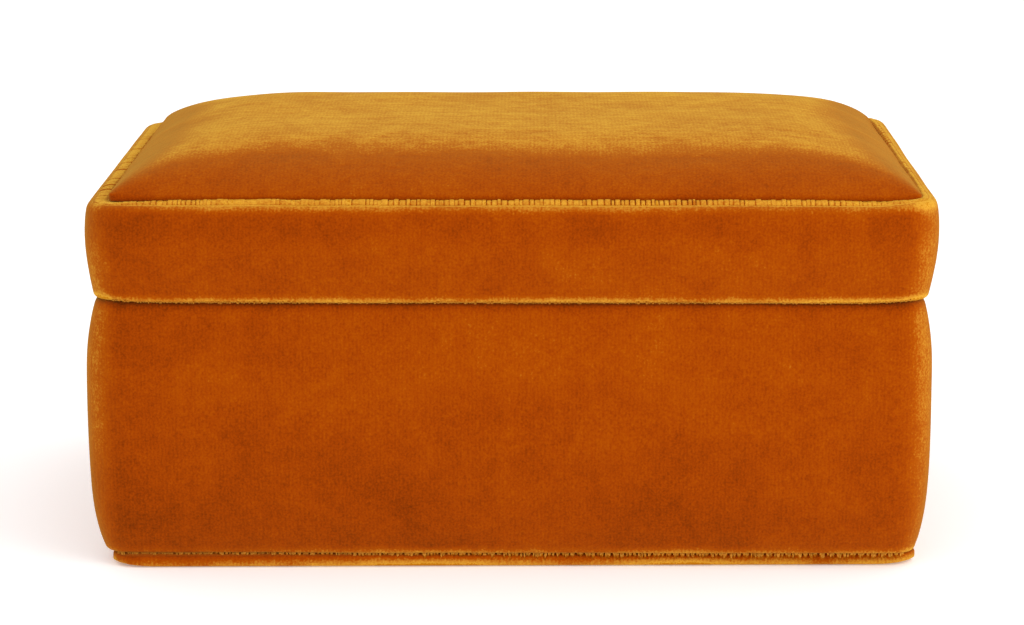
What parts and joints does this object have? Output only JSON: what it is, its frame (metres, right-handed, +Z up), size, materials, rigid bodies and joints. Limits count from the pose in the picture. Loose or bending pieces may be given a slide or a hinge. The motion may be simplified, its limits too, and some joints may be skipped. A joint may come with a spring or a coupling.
{
  "type": "velvet storage box",
  "caption": "Rectangular keepsake box covered in cotton velvet, with padded walls, a lined compartment and a hinged lid with a crowned pad.",
  "frame": {"origin": "middle of the flat underside, at the table", "axes": "+X across the width towards the right-hand end, +Y from the front towards the hinged back, +Z up"},
  "size_m": [0.2, 0.13, 0.101],
  "materials": {
    "cotton_velvet": "cut pile, golden sheen at grazing angles",
    "mdf": "sanded fibreboard",
    "wadding": "soft polyester wadding",
    "foam": "open-cell upholstery foam",
    "greyboard": "matt card",
    "cotton_sateen": "soft satin weave",
    "brass": "polished"
  },
  "bodies": {
    "box": {"base_board": "mdf", "front_board": "mdf", "back_board": "mdf", "left_board": "mdf", "right_board": "mdf", "body_wadding": "wadding", "body_velvet": "cotton_velvet", "bottom_card": "greyboard", "bottom_velvet": "cotton_velvet", "floor_liner": "cotton_sateen", "front_liner": "cotton_sateen", "back_liner": "cotton_sateen", "left_liner": "cotton_sateen", "right_liner": "cotton_sateen", "left_hinge_lower_leaf": "brass", "right_hinge_lower_leaf": "brass", "left_hinge_pin": "brass", "right_hinge_pin": "brass", "left_outer_lower_screw": "brass", "left_inner_lower_screw": "brass", "right_inner_lower_screw": "brass", "right_outer_lower_screw": "brass"},
    "lid": {"lid_board": "mdf", "lid_front_rail": "mdf", "lid_back_rail": "mdf", "lid_left_rail": "mdf", "lid_right_rail": "mdf", "lid_wadding": "wadding", "lid_band_velvet": "cotton_velvet", "pad_card": "greyboard", "pad_foam": "foam", "pad_velvet": "cotton_velvet", "lid_ceiling_liner": "cotton_sateen", "lid_front_liner": "cotton_sateen", "lid_back_liner": "cotton_sateen", "lid_left_liner": "cotton_sateen", "lid_right_liner": "cotton_sateen", "left_hinge_upper_leaf": "brass", "right_hinge_upper_leaf": "brass", "left_outer_upper_screw": "brass", "left_inner_upper_screw": "brass", "right_inner_upper_screw": "brass", "right_outer_upper_screw": "brass"}
  },
  "joints": [
    {"name": "lid_hinge", "type": "hinge", "parent": "box", "child": "lid", "pos_m": [0, 0.0625, 0.0646], "axis": [-1, 0, 0], "range_deg": [0, 130]}
  ]
}
